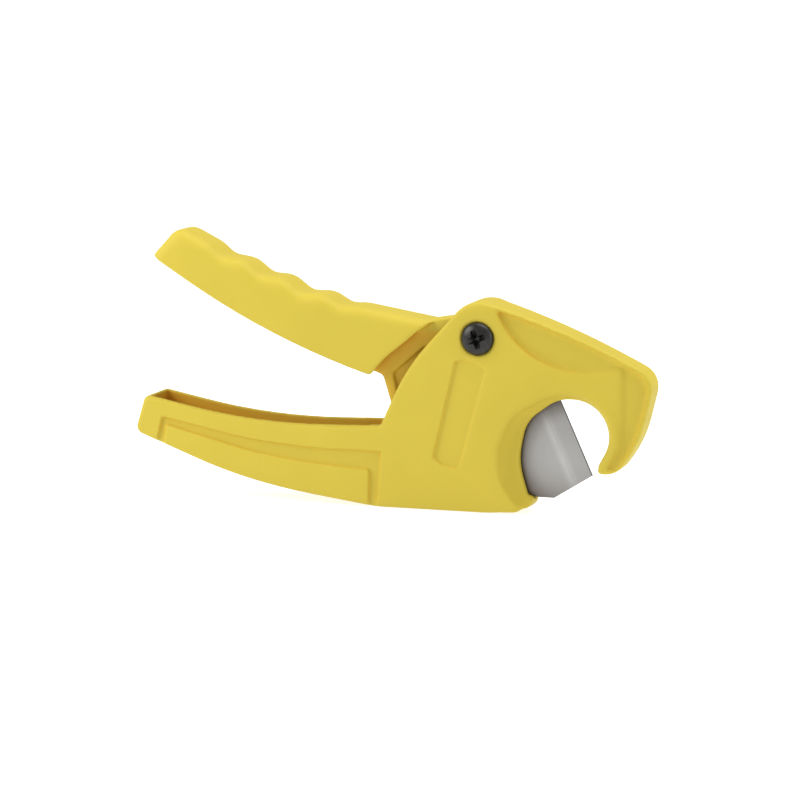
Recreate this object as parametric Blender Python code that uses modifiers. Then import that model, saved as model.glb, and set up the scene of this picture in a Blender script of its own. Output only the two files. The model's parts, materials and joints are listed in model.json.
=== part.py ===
"""Ratchet-free hand pipe cutter: moulded body with hook jaw and channel handle,
moulded squeeze handle with the blade carrier, steel blade, pivot and fasteners.

Outlines are in millimetres in the tool's side view: x to the right (towards the hook),
z up, both measured from the blade pivot. The tool is symmetric about y = 0.
"""
import math

import bmesh
import bpy
from mathutils import Matrix, Vector

MM = 0.001

# --- driving dimensions, millimetres -------------------------------------------------
PIVOT_X = 37.26         # pivot to the middle of the tool's length
PIVOT_Z = 68.6          # pivot above the flat that the tool stands on
BODY_HALF = 11.0        # half of the body's width over the handle
EDGE_ROUND = 1.8        # rounding of the body's outer edges
JAW_ROUND = 1.5         # rounding of the jaw's outer edges
FLANGE_HALF = 6.8       # half width of the thinner jaw with the hook
RIM_HEIGHT = 1.0        # how far the rim stands above the recessed side
LIP_HALF = 4.0          # half width of the jaw at the edge of the mouth
CAVITY_HALF = 6.6       # half width of the slot that the blade carrier swings in
CHANNEL_HALF = 8.6      # half width of the hollow in both handles
FLOOR = 3.0             # wall under the channel and the cavity
CARRIER_HALF = 5.5      # half width of the blade carrier
POCKET_HALF = 3.9       # half width of the carrier at its side pockets
HUB_R = 8.5             # carrier hub round the pivot
BLADE_HALF = 0.8        # half of the blade's thickness
SLOT_HALF = 1.1         # half width of the blade slots
BLADE_SWEEP_R = 70.6    # reach of the blade slot from the pivot
SCREW_R = 3.0           # pivot screw shank
SCREW_HEAD_R = 7.1
SCREW_HEAD_H = 3.6
SCREW_SEAT = 1.0        # depth of the round seat of the screw head
NUT_FLATS = 10.0        # pivot nut across flats
NUT_HEIGHT = 3.2
SLEEVE_R = 4.3          # steel sleeve that the carrier turns on
RUNNING_FIT = 0.05      # radial clearance between sleeve and carrier
GAP = 0.3               # clearance between neighbouring pieces
BLADE_SCREW_R = 2.0
BLADE_SCREW_HEAD_R = 3.6
BLADE_NUT_FLATS = 7.0
WIRE_R = 0.45           # return spring wire
COIL_R = 5.4            # middle of the wire in the spring's coil
COIL_TURNS = 2.5
COIL_PITCH = 1.1

CHORD_ERROR = 0.03      # how far a facet may lie inside its arc
MAX_STEP = math.radians(15)

# Half width of the body along x: it tapers from the handle to the hook.
BODY_TAPER = ((-38.0, 11.0), (0.0, 10.2), (20.0, 9.8), (53.0, 6.4), (75.0, 4.2))

# --- outlines: corner x, corner z, corner radius -------------------------------------
HEAD_LINE = (
    (-39.6, -36.0, 1.5), (-29.2, -12.8, 80), (-3.2, 16.1, 13),
)
HANDLE_BOTTOM = (
    (-42.0, -68.6, 40), (-78.6, -63.9, 250), (-104.3, -58.3, 200), (-143.9, -43.5, 3.2),
)
HANDLE_TOP = ((-139.3, -28.4, 2.6), (-91.4, -37.8, 260))
CRESCENT = ((6.2, 13.3, 2.2), (20.0, -21.4, 38.2), (61.0, -7.6, 2.2))
MOUTH = (
    (46.2, -50.1, 0), (51.1, -40.8, 13), (51.1, -23.1, 14.4), (30.6, -23.1, 14.4),
    (17.8, -32.5, 8), (14.6, -48.5, 27), (19.3, -62.3, 1.0),
)
SHELL = HANDLE_BOTTOM + HANDLE_TOP + HEAD_LINE + CRESCENT + (
    (61.0, -32.0, 20), (56.0, -46.0, 2.0), (51.6, -44.0, 2.0), (52.6, -33.0, 10),
    (51.0, -22.0, 9), (27.0, -22.0, 10), (16.2, -30.8, 8), (13.4, -48.0, 20),
    (16.8, -59.0, 3), (17.6, -66.5, 2.2), (4.0, -68.6, 50),
)
FLANGE = (
    (2.0, 13.5, 0), (6.0, 13.2, 0), (35.8, 4.1, 340), (70.1, -12.8, 9), (64.0, -38.0, 45),
    (54.9, -51.5, 9), (45.3, -51.5, 2.2),
) + MOUTH[1:] + (
    (23.0, -62.9, 1.5), (21.4, -66.4, 1.5), (2.0, -68.0, 0),
)
JAW_RECESS = (
    (0.0, 11.3, 0), (6.0, 10.9, 0), (35.0, 1.8, 340), (67.3, -14.2, 7), (61.7, -37.4, 45),
    (54.3, -49.4, 2), (50.4, -49.0, 1), (55.2, -40.8, 13), (55.2, -20.0, 16), (0.0, -20.0, 0),
)
CAVITY = (
    (-52.0, -65.6, 0), (-52.0, 4.4, 0), (-25.0, 6.0, 10), (-6.5, 8.9, 9), (9.0, 9.0, 9),
    (9.0, -1.0, 4), (13.6, -12.0, 14), (13.2, -24.5, 10), (7.0, -41.5, 12),
    (7.0, -50.0, 10), (10.0, -65.6, 3),
)
CHANNEL = (
    (-44.5, -65.6, 0), (-78.2, -60.8, 250), (-103.4, -55.0, 200), (-139.6, -41.2, 2),
    (-135.2, -20.0, 0), (-44.5, -20.0, 0),
)
HEAD_PANEL = ((-8.9, -9.0, 0.8), (-2.5, -7.6, 13), (3.6, -11.7, 0.8), (-7.2, -51.2, 0.8),
              (-12.6, -52.0, 10), (-17.9, -47.6, 0.8))
GRIP_GROOVE = (
    (-131.8, -36.9, 0.6), (-93.8, -44.3, 150), (-66.0, -46.4, 150), (-38.9, -46.2, 0.6),
    (-41.3, -75.0, 0), (-44.9, -75.0, 0), (-44.1, -54.0, 0.8), (-71.9, -52.2, 150),
    (-93.8, -49.2, 150), (-130.2, -40.2, 0.6), (-131.7, -60.0, 0), (-137.4, -60.0, 0),
)
GROOVE_DEPTH = 1.2
PANEL_DEPTH = 0.7

# Squeeze handle: top with four finger grooves, then the lines that trim its skirt.
GRIP_TOP = (
    (-145.0, 18.1, 0), (-125.5, 39.7, 5.5), (-111.5, 32.8, 9), (-106.3, 28.2, 5),
    (-97.0, 26.9, 9), (-89.8, 21.2, 5), (-81.1, 20.8, 9), (-72.9, 14.6, 5),
    (-64.0, 15.0, 9), (-56.0, 10.2, 6), (-50.5, 10.7, 12), (-14.0, 4.7, 0),
)
GRIP_ROUND = 4.5
SKIRT_BOTTOM = ((-150.0, 36.7, 0), (-85.8, -3.5, 320), (-43.9, -16.3, 0.8))
SKIRT_END = ((-37.9, -9.3, 30), (-22.6, 3.1, 20), (-15.0, 8.2, 0), (-8.0, 15.0, 0))
GRIP_HOLLOW = (
    (-129.8, 15.0, 0), (-129.8, 28.0, 2), (-124.5, 34.0, 3), (-106.5, 24.8, 8),
    (-73.0, 11.6, 20), (-54.0, 6.9, 20), (-24.0, 2.4, 2), (-24.0, -40.0, 0), (-120.0, -40.0, 0),
)
CARRIER = (
    (-58.0, 8.6, 0), (-24.0, 5.5, 20), (-5.5, 8.5, 10), (8.5, 8.5, 8.5), (8.5, -1.5, 6),
    (6.6, -12.0, 20), (3.6, -27.0, 12), (-8.5, -44.0, 3), (-32.8, -41.5, 4), (-40.3, -16.7, 2.0),
    (-47.0, -14.4, 5), (-58.0, -4.0, 0),
)
CARRIER_POCKET = (
    (-36.0, -15.6, 1), (-22.5, -4.0, 3), (-11.0, -9.5, 3), (-1.5, -24.5, 3),
    (-11.5, -39.5, 3), (-30.2, -38.0, 2),
)
CARRIER_SLOT = (
    (-8.9, 12.0, 0), (14.0, 12.0, 0), (14.0, -50.0, 0), (-19.1, -50.0, 0),
    (-19.1, -20.0, 0), (-8.9, -4.0, 0),
)
GRIP_RIBS_X = (-108.0, -84.0, -60.0)
CHANNEL_RIBS_X = (-112.0, -86.0, -60.0)
RIB_THICKNESS = 1.6
RIB_HEIGHT = 7.0

BLADE = (
    (44.1, -53.0, 0), (28.8, -62.6, 0), (4.0, -62.6, 5), (-18.5, -43.5, 6),
    (-18.5, -22.0, 10), (-8.0, -3.0, 10), (-8.0, 8.0, 8), (8.0, 8.0, 8),
    (8.0, -6.0, 5), (27.2, -15.5, 1),
)
BLADE_SLOT = (
    (-20.0, -1.5, 0), (9.0, -1.5, 0), (31.8, -5.0, 1), (59.6, -36.4, 0),
)
GRIND_WIDTH = 8.2       # width of the ground bevel behind the cutting edge
EDGE_HALF = 0.06        # half of the land left at the cutting edge
BLADE_SCREWS = {"upper": (-11.0, -20.0), "lower": (-13.5, -33.0)}

# The cove round the mouth: share of its width, and half width of the jaw there.
COVE_PROFILE = ((0.0, LIP_HALF), (0.55, 4.7), (0.86, 6.3), (1.0, 8.6), (1.06, 12.5))
# Width of the cove at shares of the way along the mouth, from the hook's tip to the lip.
COVE_WIDTH = ((0.0, 1.2), (0.12, 3.6), (0.27, 5.2), (0.42, 3.4), (0.55, 3.6), (0.66, 6.2),
              (0.85, 7.0), (0.94, 6.0), (1.0, 3.6))

YELLOW = (0.66, 0.50, 0.060)
BLACK = (0.012, 0.012, 0.013)
STEEL = (0.44, 0.44, 0.45)
ZINC = (0.52, 0.52, 0.50)


# --- outlines ------------------------------------------------------------------------
def rounded_path(corners):
    """Points of a closed outline whose corners (x, z, radius) are rounded by arcs."""
    points = []
    count = len(corners)
    for i, (x, z, radius) in enumerate(corners):
        corner = Vector((x, z))
        back = (Vector(corners[i - 1][:2]) - corner).normalized()
        ahead = (Vector(corners[(i + 1) % count][:2]) - corner).normalized()
        turn = math.pi - back.angle(ahead)
        if radius <= 0 or turn < 1e-4:
            points.append(corner)
            continue
        step = min(MAX_STEP, 2 * math.acos(1 - CHORD_ERROR / max(radius, 0.2)))
        steps = max(1, math.ceil(turn / step))
        centre = corner + (back + ahead).normalized() * (radius / math.cos(turn / 2))
        first = corner + back * (radius * math.tan(turn / 2)) - centre
        side = math.copysign(1, back.cross(ahead))
        for k in range(steps + 1):
            points.append(centre + Matrix.Rotation(-side * turn * k / steps, 2) @ first)
    return points


def interpolate(table, at):
    """Straight-line reading of a table of (place, value) pairs."""
    for (a, value_a), (b, value_b) in zip(table, table[1:]):
        if at <= b:
            return value_a + (value_b - value_a) * max(0.0, (at - a) / (b - a))
    return table[-1][1]


# --- scene helpers -------------------------------------------------------------------
def new_collection(name):
    collection = bpy.data.collections.new(name)
    bpy.context.scene.collection.children.link(collection)
    return collection


def make_material(name, colour, roughness, metallic=0.0):
    material = bpy.data.materials.new(name)
    material.use_nodes = True
    shader = material.node_tree.nodes["Principled BSDF"]
    shader.inputs["Base Color"].default_value = (*colour, 1.0)
    shader.inputs["Roughness"].default_value = roughness
    shader.inputs["Metallic"].default_value = metallic
    return material


def object_from_bmesh(name, mesh_data):
    """A parts object that holds a bmesh given in millimetres from the pivot."""
    bmesh.ops.recalc_face_normals(mesh_data, faces=mesh_data.faces)
    bmesh.ops.scale(mesh_data, vec=(MM, MM, MM), verts=mesh_data.verts)
    mesh = bpy.data.meshes.new(name)
    mesh_data.to_mesh(mesh)
    mesh_data.free()
    piece = bpy.data.objects.new(name, mesh)
    parts.objects.link(piece)
    return piece


def slab(name, points, half, rounding=0.0, segments=2, middle=0.0):
    """An outline in the side view, extruded to both sides of y = middle."""
    curve = bpy.data.curves.new(name, "CURVE")
    curve.dimensions = "2D"
    curve.fill_mode = "BOTH"
    curve.extrude = (half - rounding) * MM
    curve.bevel_depth = rounding * MM
    curve.offset = -rounding * MM
    curve.bevel_resolution = segments - 1
    spline = curve.splines.new("POLY")
    spline.points.add(len(points) - 1)
    for spline_point, point in zip(spline.points, points):
        spline_point.co = (point.x * MM, point.y * MM, 0.0, 1.0)
    spline.use_cyclic_u = True
    shape = bpy.data.objects.new(name, curve)
    parts.objects.link(shape)
    shape.rotation_euler.x = math.pi / 2
    shape.location.y = middle * MM
    bpy.context.view_layer.update()
    evaluated = shape.evaluated_get(bpy.context.evaluated_depsgraph_get())
    mesh = bpy.data.meshes.new_from_object(evaluated)
    mesh.transform(shape.matrix_world)
    bpy.data.objects.remove(shape)
    mesh_data = bmesh.new()
    mesh_data.from_mesh(mesh)
    bpy.data.meshes.remove(mesh)
    bmesh.ops.remove_doubles(mesh_data, verts=mesh_data.verts, dist=3e-5)
    bmesh.ops.dissolve_limit(mesh_data, angle_limit=math.radians(0.03),
                             verts=mesh_data.verts, edges=mesh_data.edges)
    bmesh.ops.scale(mesh_data, vec=(1 / MM,) * 3, verts=mesh_data.verts)
    return object_from_bmesh(name, mesh_data)


def cylinder(name, radius, y_from, y_to, at=(0.0, 0.0), sides=32, turn=0.0):
    """A cylinder or regular prism along y."""
    mesh_data = bmesh.new()
    bmesh.ops.create_cone(mesh_data, cap_ends=True, segments=sides, radius1=radius,
                          radius2=radius, depth=y_to - y_from)
    place = Matrix.Translation((at[0], (y_from + y_to) / 2, at[1]))
    lay = Matrix.Rotation(math.pi / 2, 4, "X") @ Matrix.Rotation(turn, 4, "Z")
    bmesh.ops.transform(mesh_data, matrix=place @ lay, verts=mesh_data.verts)
    return object_from_bmesh(name, mesh_data)


def box(name, low, high):
    mesh_data = bmesh.new()
    bmesh.ops.create_cube(mesh_data, size=1.0)
    size = [b - a for a, b in zip(low, high)]
    middle = [(a + b) / 2 for a, b in zip(low, high)]
    bmesh.ops.scale(mesh_data, vec=size, verts=mesh_data.verts)
    bmesh.ops.translate(mesh_data, vec=middle, verts=mesh_data.verts)
    return object_from_bmesh(name, mesh_data)


def combine(piece, tool, operation):
    """Boolean modifier; the tool becomes a hidden cutter."""
    parts.objects.unlink(tool)
    cutters.objects.link(tool)
    tool.hide_render = True
    tool.display_type = "WIRE"
    modifier = piece.modifiers.new(tool.name, "BOOLEAN")
    modifier.operation = operation
    modifier.object = tool
    return piece


def cut(piece, *tools):
    for tool in tools:
        combine(piece, tool, "DIFFERENCE")
    return piece


def join(piece, *tools):
    for tool in tools:
        combine(piece, tool, "UNION")
    return piece


def finish(piece, material, smooth_below=30.0):
    piece.data.materials.append(material)
    piece.data.shade_smooth()
    piece.data.set_sharp_from_angle(angle=math.radians(smooth_below))
    return piece


def both_sides(name, points, half_from, half_to=14.0):
    """The same prism on the front and on the back of the tool."""
    middle = (half_from + half_to) / 2
    half = (half_to - half_from) / 2
    return [slab(f"{name}_{side}", points, half, middle=sign * middle)
            for side, sign in (("front", -1), ("back", 1))]


# --- body ----------------------------------------------------------------------------
def taper_shell(shell):
    """Narrow the shell along x, with a crease only where the taper changes."""
    mesh_data = bmesh.new()
    mesh_data.from_mesh(shell.data)
    for x, _ in BODY_TAPER[:-1]:
        bmesh.ops.bisect_plane(
            mesh_data, geom=mesh_data.verts[:] + mesh_data.edges[:] + mesh_data.faces[:],
            plane_co=(x * MM, 0, 0), plane_no=(1, 0, 0), dist=1e-7)
    for vertex in mesh_data.verts:
        vertex.co.y *= interpolate(BODY_TAPER, vertex.co.x / MM) / BODY_HALF
    warped = [face for face in mesh_data.faces if len(face.verts) == 4]
    bmesh.ops.triangulate(mesh_data, faces=warped)
    mesh_data.to_mesh(shell.data)
    mesh_data.free()


def mouth_cove():
    """Cutter for the hollowed edges of the mouth: rings lofted outwards to each side."""
    corners = rounded_path(MOUTH)
    edge = [corners[0]] + [(a + b) / 2 for a, b in zip(corners, corners[1:])] + [corners[-1]]
    length = [0.0]
    for a, b in zip(edge, edge[1:]):
        length.append(length[-1] + (b - a).length)
    outward = []
    for i, point in enumerate(edge):
        ahead = (edge[min(i + 1, len(edge) - 1)] - edge[max(i - 1, 0)]).normalized()
        outward.append(Vector((ahead.y, -ahead.x)))
    mesh_data = bmesh.new()
    rings = []
    levels = [(share, -half) for share, half in reversed(COVE_PROFILE)] + list(COVE_PROFILE)
    for share, y in levels:
        ring = []
        for point, side, along in zip(edge, outward, length):
            reach = share * interpolate(COVE_WIDTH, along / length[-1])
            if share == 0.0:
                reach = -GAP
            place = point + side * reach
            ring.append(mesh_data.verts.new((place.x, y, place.y)))
        rings.append(ring)
    count = len(edge)
    for ring, following in zip(rings, rings[1:]):
        for i in range(count):
            j = (i + 1) % count
            mesh_data.faces.new((ring[i], ring[j], following[j], following[i]))
    mesh_data.faces.new(rings[0])
    mesh_data.faces.new(rings[-1])
    bmesh.ops.triangulate(mesh_data, faces=mesh_data.faces)
    return object_from_bmesh("mouth_cove", mesh_data)


def blade_slot():
    """Prism that the blade swings through, rounded off at the blade's reach."""
    points = rounded_path(BLADE_SLOT)
    for step in range(9):
        angle = math.radians(-31.7 - 2.0 * step)
        points.append(Vector((math.cos(angle), math.sin(angle))) * BLADE_SWEEP_R)
    points += [Vector((46.0, -58.0)), Vector((30.0, -63.2)), Vector((-20.0, -63.2))]
    return slab("blade_slot", points, SLOT_HALF)


def channel_ribs():
    """Cross ribs in the floor of the channel handle."""
    ribs = []
    for number, x in enumerate(CHANNEL_RIBS_X):
        base = interpolate(((-143.0, -43.5), (-104.3, -58.0), (-78.6, -63.8), (-42.0, -68.6)), x)
        ribs.append(box(f"channel_rib_{number}",
                        (x - RIB_THICKNESS / 2, -CHANNEL_HALF - 1.0, base + 1.0),
                        (x + RIB_THICKNESS / 2, CHANNEL_HALF + 1.0, base + FLOOR + RIB_HEIGHT)))
    return ribs


def make_body():
    body = slab("body", rounded_path(FLANGE), FLANGE_HALF, JAW_ROUND)
    cut(body, *both_sides("jaw_recess", rounded_path(JAW_RECESS), FLANGE_HALF - RIM_HEIGHT))
    shell = slab("body_shell", rounded_path(SHELL), BODY_HALF, EDGE_ROUND)
    taper_shell(shell)
    join(body, shell)
    cut(body, slab("channel", rounded_path(CHANNEL), CHANNEL_HALF),
        slab("cavity", rounded_path(CAVITY), CAVITY_HALF))
    join(body, *channel_ribs())
    cut(body, mouth_cove(), blade_slot(),
        *both_sides("head_panel", rounded_path(HEAD_PANEL), 10.2 - PANEL_DEPTH),
        *both_sides("grip_groove", rounded_path(GRIP_GROOVE), BODY_HALF - GROOVE_DEPTH))
    seat = SCREW_SEAT_Y
    cut(body, cylinder("screw_hole", SCREW_R + GAP, -16.0, 16.0),
        cylinder("screw_seat", SCREW_HEAD_R + 0.4, -16.0, seat, sides=48),
        cylinder("nut_pocket", hex_radius(NUT_FLATS + 2 * GAP), NUT_FLOOR_Y, 16.0,
                 sides=6, turn=math.radians(30)),
        box("spring_notch", (4.5, 4.9, 5.0), (6.3, CAVITY_HALF, 10.4)))
    return finish(body, plastic)


# --- squeeze handle ------------------------------------------------------------------
def make_upper_handle():
    outer = rounded_path(GRIP_TOP + ((-14.0, -30.0, 0), (-80.0, -30.0, 0)))
    handle = slab("upper_handle", outer, BODY_HALF, GRIP_ROUND, segments=3)
    trim = SKIRT_BOTTOM + SKIRT_END + ((20.0, 15.0, 0), (20.0, -60.0, 0), (-150.0, -60.0, 0))
    cut(handle, slab("skirt_trim", rounded_path(trim), 15.0),
        slab("grip_hollow", rounded_path(GRIP_HOLLOW), CHANNEL_HALF))
    for number, x in enumerate(GRIP_RIBS_X):
        roof = interpolate(((-125.0, 37.0), (-106.5, 28.0), (-56.0, 10.2), (-24.0, 6.0)), x)
        join(handle, box(f"grip_rib_{number}",
                         (x - RIB_THICKNESS / 2, -CHANNEL_HALF - 1.0, roof - RIB_HEIGHT - 3.0),
                         (x + RIB_THICKNESS / 2, CHANNEL_HALF + 1.0, roof - 1.5)))
    join(handle, slab("carrier", rounded_path(CARRIER), CARRIER_HALF, 0.6, segments=1))
    cut(handle, *both_sides("carrier_pocket", rounded_path(CARRIER_POCKET), POCKET_HALF, 8.0))
    cut(handle, slab("carrier_slot", rounded_path(CARRIER_SLOT), SLOT_HALF),
        cylinder("hub_bore", SLEEVE_R + RUNNING_FIT, -8.0, 8.0, sides=48),
        cylinder("spring_pocket", COIL_R + 1.2, 2.2, 8.0),
        box("spring_leg_groove", (-6.3, 2.5, -14.0), (-4.5, 8.2, 1.0)),
        box("spring_window", (3.6, 2.3, -2.8), (12.0, 8.4, 12.0)))
    for name, at in BLADE_SCREWS.items():
        cut(handle, cylinder(f"carrier_hole_{name}", BLADE_SCREW_R + GAP, -8, 8, at, 24))
    return finish(handle, plastic)


# --- blade ---------------------------------------------------------------------------
def make_blade():
    """Flat steel blank, ground to an edge on both sides and bored for its three fasteners."""
    blade = slab("blade", rounded_path(BLADE), BLADE_HALF)
    tip = Vector(BLADE[0][:2])
    heel = Vector(BLADE[-1][:2])
    along = (heel - tip).normalized()
    back = Vector((-along.y, along.x))
    if back.dot(-tip) < 0:
        back = -back
    slope = (BLADE_HALF - EDGE_HALF) / GRIND_WIDTH
    top = BLADE_HALF + 3.0 * slope
    for side in (-1, 1):
        mesh_data = bmesh.new()
        corners = []
        for end, reach in ((tip, -12.0), (heel, 4.0)):
            start = end + along * reach
            for inwards, half in ((-1.0, EDGE_HALF - slope), (GRIND_WIDTH + 3.0, top),
                                  (GRIND_WIDTH + 3.0, 3.0), (-1.0, 3.0)):
                place = start + back * inwards
                corners.append(mesh_data.verts.new((place.x, side * half, place.y)))
        front, rear = corners[:4], corners[4:]
        for i in range(4):
            j = (i + 1) % 4
            mesh_data.faces.new((front[i], front[j], rear[j], rear[i]))
        mesh_data.faces.new(front)
        mesh_data.faces.new(rear)
        cut(blade, object_from_bmesh(f"blade_grind_{side}", mesh_data))
    cut(blade, cylinder("blade_bore", SLEEVE_R + GAP, -3.0, 3.0))
    for name, at in BLADE_SCREWS.items():
        cut(blade, cylinder(f"blade_hole_{name}", BLADE_SCREW_R + GAP, -3, 3, at, 24))
    return finish(blade, steel)


# --- turned pieces, fasteners and spring ----------------------------------------------
def turned(name, profile, at=(0.0, 0.0), sides=32, closed=False):
    """A profile of (radius, y) revolved about y; it runs down the piece's outer side."""
    mesh_data = bmesh.new()
    vertices = [mesh_data.verts.new((radius, y, 0.0)) for radius, y in profile]
    for a, b in zip(vertices, vertices[1:] + vertices[:closed]):
        mesh_data.edges.new((a, b))
    mesh = bpy.data.meshes.new(name)
    bmesh.ops.scale(mesh_data, vec=(MM, MM, MM), verts=mesh_data.verts)
    mesh_data.to_mesh(mesh)
    mesh_data.free()
    piece = bpy.data.objects.new(name, mesh)
    parts.objects.link(piece)
    piece.location = (at[0] * MM, 0.0, at[1] * MM)
    screw = piece.modifiers.new("turn", "SCREW")
    screw.axis = "Y"
    screw.steps = sides
    screw.render_steps = sides
    screw.use_merge_vertices = True
    screw.merge_threshold = 1e-6
    screw.use_normal_calculate = not closed
    return piece


def hex_radius(across_flats):
    return across_flats / 2 / math.cos(math.pi / 6)


def make_pivot_screw():
    """Black cross-recessed screw; its domed head sits in the seat on the front."""
    under = SCREW_SEAT_Y - GAP
    top = under - SCREW_HEAD_H
    dome = [(SCREW_HEAD_R * math.sin(math.radians(a)),
             top + (SCREW_HEAD_H - 1.1) * (1 - math.cos(math.radians(a))))
            for a in (0, 15, 30, 45, 60, 75, 90)]
    tip = NUT_FLOOR_Y + GAP + NUT_HEIGHT + 1.0
    profile = dome + [(SCREW_HEAD_R, under), (SCREW_R, under), (SCREW_R, tip - 0.5),
                      (SCREW_R - 0.5, tip), (0.0, tip)]
    screw = turned("pivot_screw", profile, sides=40)
    for number, angle in enumerate((15, 105)):
        recess = box(f"cross_recess_{number}", (-2.9, top - 1.0, -0.75), (2.9, top + 2.0, 0.75))
        recess.rotation_euler.y = math.radians(angle)
        cut(screw, recess)
    return finish(screw, black)


def make_pivot_nut():
    nut = cylinder("pivot_nut", hex_radius(NUT_FLATS), NUT_FLOOR_Y + GAP,
                   NUT_FLOOR_Y + GAP + NUT_HEIGHT, sides=6, turn=math.radians(30))
    cut(nut, cylinder("nut_bore", SCREW_R + GAP, 0.0, 20.0))
    return finish(nut, zinc)


def make_ring(name, inner, outer, y_from, y_to, material):
    ring = turned(name, [(inner, y_to), (outer, y_to), (outer, y_from), (inner, y_from)],
                  sides=48, closed=True)
    return finish(ring, material)


def make_blade_screw(name, at):
    """Low cheese-head screw through carrier and blade, with its nut on the back."""
    head_under = -POCKET_HALF - GAP
    head_top = head_under - 1.6
    nut_from = POCKET_HALF + GAP
    nut_to = nut_from + 1.9
    screw = turned(f"blade_screw_{name}",
                   [(0.0, head_top), (BLADE_SCREW_HEAD_R - 0.4, head_top),
                    (BLADE_SCREW_HEAD_R, head_top + 0.4), (BLADE_SCREW_HEAD_R, head_under),
                    (BLADE_SCREW_R, head_under), (BLADE_SCREW_R, nut_to), (0.0, nut_to)],
                   at, sides=24)
    cut(screw, box(f"driver_slot_{name}", (at[0] - 5, head_top - 1, at[1] - 0.5),
                   (at[0] + 5, head_top + 0.8, at[1] + 0.5)))
    finish(screw, zinc)
    nut = cylinder(f"blade_nut_{name}", hex_radius(BLADE_NUT_FLATS), nut_from, nut_to, at,
                   sides=6, turn=math.radians(30))
    cut(nut, cylinder(f"blade_nut_bore_{name}", BLADE_SCREW_R + GAP, 0.0, 10.0, at, 24))
    finish(nut, zinc)
    return screw, nut


def make_return_spring():
    """Torsion spring in the hub: one leg in the carrier, the other in the body's notch."""
    start_y = 2.9
    steps = round(COIL_TURNS * 20)
    points = [(-COIL_R, start_y, -13.0)]
    for k in range(steps + 1):
        angle = math.pi + 2 * math.pi * COIL_TURNS * k / steps
        y = start_y + COIL_PITCH * COIL_TURNS * k / steps
        points.append((COIL_R * math.cos(angle), y, COIL_R * math.sin(angle)))
    points[0] = (points[1][0], start_y, -13.0)
    points.append((points[-1][0], points[-1][1], 9.4))
    curve = bpy.data.curves.new("return_spring", "CURVE")
    curve.dimensions = "3D"
    curve.bevel_depth = WIRE_R * MM
    curve.bevel_resolution = 1
    curve.use_fill_caps = True
    spline = curve.splines.new("POLY")
    spline.points.add(len(points) - 1)
    for spline_point, point in zip(spline.points, points):
        spline_point.co = (*(value * MM for value in point), 1.0)
    spring = bpy.data.objects.new("return_spring", curve)
    parts.objects.link(spring)
    weld = spring.modifiers.new("weld_caps", "WELD")
    weld.merge_threshold = 1e-6
    curve.materials.append(zinc)
    return spring


# --- assembly ------------------------------------------------------------------------
for old in list(bpy.data.objects):
    bpy.data.objects.remove(old)

parts = new_collection("pipe_cutter")
cutters = new_collection("cutters")
plastic = make_material("yellow_plastic", YELLOW, 0.42)
steel = make_material("blade_steel", STEEL, 0.30, 1.0)
black = make_material("black_screw", BLACK, 0.35, 0.6)
zinc = make_material("zinc_steel", ZINC, 0.38, 1.0)

PIVOT_HALF = interpolate(BODY_TAPER, 0.0)
SCREW_SEAT_Y = SCREW_SEAT - PIVOT_HALF
NUT_FLOOR_Y = PIVOT_HALF - 2.4

body = make_body()
upper_handle = make_upper_handle()
blade = make_blade()
pivot_screw = make_pivot_screw()
pivot_nut = make_pivot_nut()
pivot_sleeve = make_ring("pivot_sleeve", SCREW_R + GAP, SLEEVE_R, -CAVITY_HALF + GAP,
                         CAVITY_HALF - GAP, zinc)
thrust_washer = make_ring("thrust_washer", SLEEVE_R + GAP, 8.0, -CAVITY_HALF + GAP,
                          -CARRIER_HALF - GAP, zinc)
return_spring = make_return_spring()
swinging = [upper_handle, blade]
for name, at in BLADE_SCREWS.items():
    swinging += make_blade_screw(name, at)

pivot = bpy.data.objects.new("pivot", None)
parts.objects.link(pivot)
swing = bpy.data.objects.new("swing", None)
parts.objects.link(swing)
swing.parent = pivot
for piece in list(parts.objects) + list(cutters.objects):
    if piece.parent is None and piece not in (pivot, swing):
        piece.parent = swing if piece in swinging else pivot
pivot.location = (PIVOT_X * MM, 0.0, PIVOT_Z * MM)
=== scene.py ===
import json
import math

import bmesh
import bpy
import numpy as np
from mathutils import Matrix, Vector

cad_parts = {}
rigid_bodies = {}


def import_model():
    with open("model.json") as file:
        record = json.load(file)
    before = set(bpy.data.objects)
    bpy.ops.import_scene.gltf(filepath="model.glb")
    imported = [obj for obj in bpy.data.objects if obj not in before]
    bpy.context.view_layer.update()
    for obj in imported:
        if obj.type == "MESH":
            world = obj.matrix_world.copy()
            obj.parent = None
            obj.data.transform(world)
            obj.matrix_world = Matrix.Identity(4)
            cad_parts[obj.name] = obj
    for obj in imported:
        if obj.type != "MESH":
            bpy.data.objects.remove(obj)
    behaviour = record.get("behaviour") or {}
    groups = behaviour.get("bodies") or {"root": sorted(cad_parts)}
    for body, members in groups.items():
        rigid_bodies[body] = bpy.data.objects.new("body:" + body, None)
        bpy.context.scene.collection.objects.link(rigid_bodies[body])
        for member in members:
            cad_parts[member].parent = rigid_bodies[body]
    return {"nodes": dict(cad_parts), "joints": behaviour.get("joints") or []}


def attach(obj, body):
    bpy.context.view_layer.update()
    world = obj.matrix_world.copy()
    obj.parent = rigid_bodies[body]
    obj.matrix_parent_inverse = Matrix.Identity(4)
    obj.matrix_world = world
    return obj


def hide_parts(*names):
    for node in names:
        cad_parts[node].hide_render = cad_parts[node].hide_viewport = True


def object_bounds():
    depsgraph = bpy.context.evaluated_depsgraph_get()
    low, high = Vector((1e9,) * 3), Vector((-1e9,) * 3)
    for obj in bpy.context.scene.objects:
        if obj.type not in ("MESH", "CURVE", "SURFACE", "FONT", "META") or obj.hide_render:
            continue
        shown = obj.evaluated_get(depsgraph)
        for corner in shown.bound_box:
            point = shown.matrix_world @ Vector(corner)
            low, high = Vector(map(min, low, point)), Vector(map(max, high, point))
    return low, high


for old in list(bpy.data.objects):
    bpy.data.objects.remove(old)
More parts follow.
